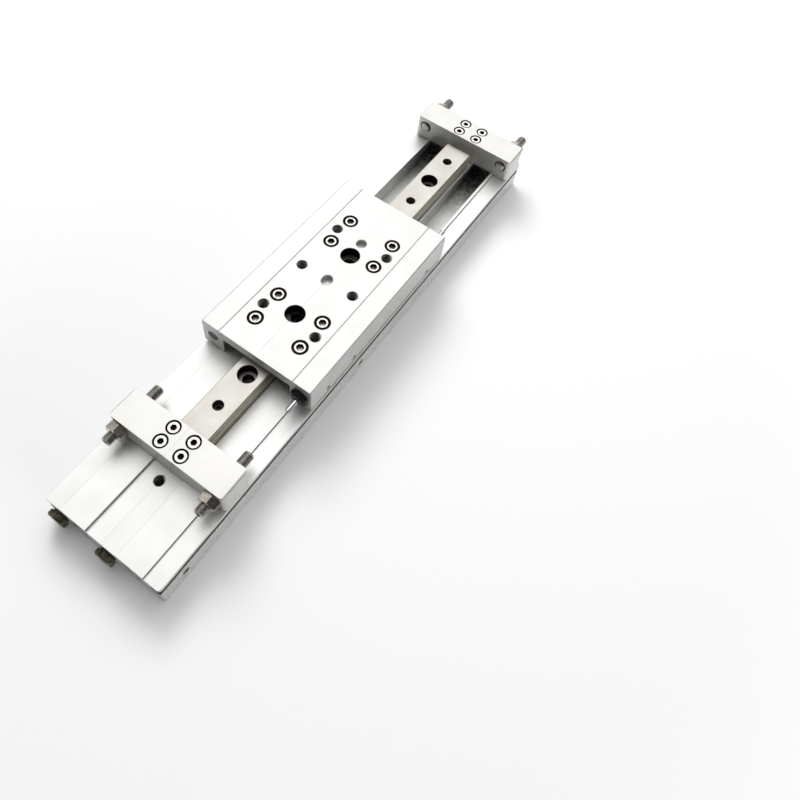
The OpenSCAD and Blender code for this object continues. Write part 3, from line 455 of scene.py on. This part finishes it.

# ridges of the tapped holes: their height, half crest and half foot are shares of the pitch;
# threadDepth is how far down a hole is tapped, and depth how far down its painted shade film goes
ridge = {"steps": 24, "height": 0.54, "crest": 0.07, "foot": 0.42, "sunk": 0.02 * mm}
tableHole = {
    "row": 14.5 * mm, "radius": 2.5 * mm, "pitch": 0.8 * mm, "threadDepth": 4.9 * mm, "start": 0.3 * mm,
    "depth": 5.3 * mm}
portEndHole = {
    "at": (30.7 * mm, 0, 15.5 * mm), "radius": 2.3 * mm, "pitch": 0.8 * mm, "threadDepth": 11 * mm,
    "depth": 14 * mm}
tableHoleSpots = [(x, side * tableHole["row"]) for x in (nearX, (nearX + farX) / 2, farX) for side in (-1, 1)]


def addTappedThread(bm, at, look):
    # ridge of a tapped hole, from the point at and down
    coil = bmesh.new()
    pitch, radius = look["pitch"], look["radius"]
    wall, crest = radius + ridge["sunk"], radius - ridge["height"] * pitch
    profile = [(-ridge["foot"] * pitch, wall), (-ridge["crest"] * pitch, crest),
               (ridge["crest"] * pitch, crest), (ridge["foot"] * pitch, wall)]
    spinThread(coil, profile, pitch, int(look["threadDepth"] / pitch) + 1, ridge["steps"], closed=True)
    trimEnds(coil, look["threadDepth"])
    closeEnds(coil)
    downward = Vector((1, 0, 0)).rotation_difference(Vector((0, 0, -1))).to_matrix().to_4x4()
    bmesh.ops.transform(coil, matrix=Matrix.Translation(at) @ downward, verts=coil.verts)
    part = bpy.data.meshes.new("coil")
    coil.to_mesh(part)
    coil.free()
    bm.from_mesh(part)
    bpy.data.meshes.remove(part)


def makeTappedThreads(name, body, spots, look):
    bm = bmesh.new()
    for spot in spots:
        addTappedThread(bm, spot, look)
    smoothed(bm)
    newPiece(name, bm, body, "clear_anodised_aluminium", cutThreadShade)


makeTappedThreads("tableHoleThreads", "table",
                  [(x, y, tableTop - tableHole["start"]) for x, y in tableHoleSpots], tableHole)
makeTappedThreads("portEndThread", "base", [portEndHole["at"]], portEndHole)
print("tapped holes threaded")

# the film lies a gap off the wall and starts a drop below the rim
film = {"gap": 0.03 * mm, "drop": 0.12 * mm, "thickness": 0.02 * mm, "segments": 48}


def addShadeFilm(bm, at, radius, depth, filled=False):
    # painted shade: dark film on the wall of a bore that goes down from the point at, and on its floor if it
    # is filled
    mouth = bmesh.ops.create_circle(bm, segments=film["segments"], radius=radius - film["gap"])["verts"]
    rim = [e for e in bm.edges if e.verts[0] in mouth and e.verts[1] in mouth]
    bmesh.ops.translate(bm, verts=mouth, vec=(0, 0, -film["drop"]))
    wall = bmesh.ops.extrude_edge_only(bm, edges=rim)["geom"]
    low = [v for v in wall if isinstance(v, bmesh.types.BMVert)]
    if filled:
        bmesh.ops.contextual_create(bm, geom=low)
    bmesh.ops.translate(bm, verts=low, vec=(0, 0, film["drop"] - depth + film["gap"]))
    bmesh.ops.translate(bm, verts=mouth + low, vec=at)


def addShadeRing(bm, at, inner, outer, inward=(0, 0, -1)):
    # flat ring of dark film on a face, a painted shade; inward points into that face
    rings = [bmesh.ops.create_circle(bm, segments=film["segments"], radius=radius)["verts"]
             for radius in (inner, outer)]
    edges = [e for e in bm.edges if any(e.verts[0] in ring and e.verts[1] in ring for ring in rings)]
    bmesh.ops.bridge_loops(bm, edges=edges)
    verts = rings[0] + rings[1]
    bmesh.ops.translate(bm, verts=verts, vec=(0, 0, film["gap"]))
    turn = Vector((0, 0, -1)).rotation_difference(Vector(inward)).to_matrix().to_4x4()
    bmesh.ops.transform(bm, matrix=Matrix.Translation(at) @ turn, verts=verts)


def makeShadeFilms(name, body, bores, rings):
    # bores: place, radius and depth of each, and True where its floor takes the film too; rings: place,
    # inner, outer
    bm = bmesh.new()
    for bore in bores:
        addShadeFilm(bm, *bore)
    for ring in rings:
        addShadeRing(bm, *ring)
    bmesh.ops.recalc_face_normals(bm, faces=bm.faces)
    bmesh.ops.solidify(bm, geom=bm.faces[:], thickness=film["thickness"])
    bmesh.ops.recalc_face_normals(bm, faces=bm.faces)
    smoothed(bm)
    newPiece(name, bm, body, "clear_anodised_aluminium", boreShadeFilm)


def atHeight(spots, z, *sizes):
    # the same bore or ring at each spot
    return [((x, y, z), *sizes) for x, y in spots]


# bores, sockets and holes are (radius, depth), rims are (inner, outer); x and y are from a carriage's centre
tableScrew = {
    "x": 7.9 * mm, "y": 12.45 * mm, "headDrop": 0.1 * mm,
    "bore": (3.8 * mm, 4.1 * mm), "socket": (1.62 * mm, 1.9 * mm), "rim": (2.5 * mm, 3.25 * mm)}
accessHole = {"nearX": 4.2 * mm, "farX": -9.4 * mm, "bore": (4.75 * mm, 5.5 * mm)}
blockScrew = {
    "headRadius": 2.7 * mm, "headDrop": 0.2 * mm,
    "bore": (3.2 * mm, 3.2 * mm), "socket": (1.22 * mm, 1.4 * mm)}
railHole = {
    "first": 84.6 * mm, "pitch": 36.6 * mm, "count": 5,
    "bore": (4.5 * mm, 5.3 * mm), "hole": (2.75 * mm, 4.2 * mm)}
farBoltRim = (2.45 * mm, 2.95 * mm)


def makeTableBoreShade():
    screws = [(x + i * tableScrew["x"], j * tableScrew["y"])
              for x in (nearX, farX) for i in (-1, 1) for j in (-1, 1)]
    heads = tableTop - tableScrew["headDrop"]
    access = [(nearX + accessHole["nearX"], 0), (farX + accessHole["farX"], 0)]
    bores = atHeight(screws, tableTop, *tableScrew["bore"])
    bores += atHeight(access, tableTop, *accessHole["bore"])
    bores += atHeight(tableHoleSpots, tableTop, tableHole["radius"], tableHole["depth"])
    bores += atHeight(screws, heads, *tableScrew["socket"])
    # painted shade: dark film in the bores and sockets, and dark rims on the edges of the screw heads
    makeShadeFilms("tableBoreShade", "table", bores, atHeight(screws, heads, *tableScrew["rim"]))


def makeBodyBoreShade():
    bores = [(portEndHole["at"], portEndHole["radius"], portEndHole["depth"])]
    for end in ("near", "far"):
        low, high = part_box(f"{end}_block_screws")
        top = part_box(f"{end}_stopper_block")[1].z
        inset = blockScrew["headRadius"]
        screws = [(x, y) for x in (low.x + inset, high.x - inset) for y in (low.y + inset, high.y - inset)]
        bores += atHeight(screws, top, *blockScrew["bore"])
        bores += atHeight(screws, top - blockScrew["headDrop"], *blockScrew["socket"], True)
    mounts = [(railHole["first"] + i * railHole["pitch"], 0) for i in range(railHole["count"])]
    bores += atHeight(mounts, railTop, *railHole["bore"])
    bores += atHeight(mounts, railTop - railHole["bore"][1], *railHole["hole"])
    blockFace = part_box("far_stopper_block")[0].x
    bolts = [centreOf(f"far_{side}_bolt") for side in ("left", "right")]
    # painted shade: dark rings round the tips of the far bolts on the block face
    rings = [((blockFace, bolt.y, bolt.z), *farBoltRim, (1, 0, 0)) for bolt in bolts]
    makeShadeFilms("bodyBoreShade", "base", bores, rings)


makeTableBoreShade()
makeBodyBoreShade()
print("bores shaded")

# the floor is a lighter grey to the camera than to the parts that it lights
floorLook = {
    "reach": 4.0, "drop": 0.05 * mm, "roughness": 0.9, "specular": 0.1,
    "seenGrey": 0.8, "lightingGrey": 0.72,
    "centre": (0.14, 0, 0), "glow": 0.05, "fadeStart": 0.2, "fadeEnd": 0.7,
}


def makeFloor():
    material, tree, shader, place = startMaterial("whiteFloor", floorLook["specular"])
    shader.inputs["Roughness"].default_value = floorLook["roughness"]
    cameraRay = addNode(tree, "LightPath").outputs["Is Camera Ray"]
    greys = [(grey, grey, grey, 1) for grey in (floorLook["lightingGrey"], floorLook["seenGrey"])]
    white = addNode(tree, "Mix", {"Factor": cameraRay, 6: greys[0], 7: greys[1]}, data_type="RGBA")
    tree.links.new(white.outputs[2], shader.inputs["Base Color"])

    # away from the slide table the floor turns into the white of the room
    away = addNode(tree, "VectorMath", {0: place, 1: floorLook["centre"]}, operation="DISTANCE")
    glow = addNode(tree, "MapRange", {
        "Value": away.outputs["Value"], "From Min": floorLook["fadeStart"], "From Max": floorLook["fadeEnd"],
        "To Min": floorLook["glow"], "To Max": 1.0}, interpolation_type="SMOOTHSTEP")
    seen = addNode(tree, "Math", {0: glow.outputs["Result"], 1: cameraRay}, operation="MULTIPLY")
    shader.inputs["Emission Color"].default_value = (1, 1, 1, 1)
    tree.links.new(seen.outputs[0], shader.inputs["Emission Strength"])

    bm = bmesh.new()
    bmesh.ops.create_grid(bm, x_segments=1, y_segments=1, size=floorLook["reach"])
    bmesh.ops.translate(bm, verts=bm.verts, vec=(0, 0, -floorLook["drop"]))
    newObject("floor", bm, material)


# the room goes from dark to bright along a direction, as the parts see it
room = {"dark": 0.03, "bright": 0.78, "darkAt": 0.25, "brightAt": 0.9, "towards": (0.60, 0.30, 0.74)}


def makeRoom():
    # white where the camera or glass sees it; the parts see it go dark towards the port end
    world = bpy.data.worlds.new("studio")
    bpy.context.scene.world = world
    world.use_nodes = True
    tree = world.node_tree
    ray = addNode(tree, "LightPath").outputs
    seen = addNode(tree, "Math", {
        0: ray["Is Camera Ray"], 1: ray["Is Transmission Ray"]}, operation="MAXIMUM")
    direction = addNode(tree, "TexCoord").outputs["Generated"]
    turned = addNode(tree, "VectorMath", {0: direction, 1: room["towards"]}, operation="DOT_PRODUCT")
    shade = addNode(tree, "MapRange", {
        "Value": turned.outputs["Value"], "From Min": room["darkAt"], "From Max": room["brightAt"],
        "To Min": room["dark"], "To Max": room["bright"]})
    level = addNode(tree, "Mix", {
        "Factor": seen.outputs[0], 6: shade.outputs["Result"], 7: (1, 1, 1, 1)}, data_type="RGBA")
    tree.links.new(level.outputs[2], tree.nodes["Background"].inputs["Color"])


# the level faces mirror the soft box; the key casts the shadow and the side box fills the right side,
# and neither of those two shows in the metal
lamps = {
    "softBox": {"at": (0.72, 0.42, 1.00), "aim": (0.72, 0.42, 0), "size": (1.8, 1.3),
                "power": 6.9, "mirrored": True},
    "key": {"at": (0.62, 0.55, 0.85), "aim": (0.14, 0, 0), "size": (0.55, 0.55),
            "power": 7.5, "mirrored": False},
    "sideBox": {"at": (0.05, -1.45, 0.20), "aim": (0.12, 0, 0.01), "size": (1.2, 0.3),
                "power": 21.5, "mirrored": False},
}


def makeLamp(name, lamp):
    data = bpy.data.lights.new(name, "AREA")
    data.shape = "RECTANGLE"
    data.size, data.size_y = lamp["size"]
    data.energy = lamp["power"]
    light = bpy.data.objects.new(name, data)
    away = Vector(lamp["at"]) - Vector(lamp["aim"])
    light.matrix_world = Matrix.Translation(lamp["at"]) @ away.to_track_quat("Z", "Y").to_matrix().to_4x4()
    light.visible_glossy = lamp["mirrored"]
    bpy.context.scene.collection.objects.link(light)


# the camera looks down along the table from above its port end; lens in millimetres on the default sensor
view = {
    "at": (-19.93 * mm, -113.77 * mm, 307.01 * mm),
    "right": (0.5587, -0.82359, 0.09774),
    "down": (-0.6394, -0.50279, -0.58169),
    "forward": (0.52822, 0.2625, -0.80751),
    "lens": 32.80, "shiftX": 0.00755, "shiftY": -0.1484, "clipStart": 0.01, "clipEnd": 50,
}


def makeCamera():
    data = bpy.data.cameras.new("camera")
    data.lens = view["lens"]
    data.shift_x = view["shiftX"]
    data.shift_y = view["shiftY"]
    data.clip_start = view["clipStart"]
    data.clip_end = view["clipEnd"]
    camera = bpy.data.objects.new("camera", data)
    up, back = -Vector(view["down"]), -Vector(view["forward"])
    axes = Matrix((view["right"], up, back)).transposed()
    camera.matrix_world = Matrix.Translation(view["at"]) @ axes.to_4x4()
    bpy.context.scene.collection.objects.link(camera)
    bpy.context.scene.camera = camera


makeFloor()
makeRoom()
for name, lamp in lamps.items():
    makeLamp(name, lamp)
makeCamera()
bpy.context.scene.view_settings.view_transform = "Standard"
print("stage, light and camera placed")
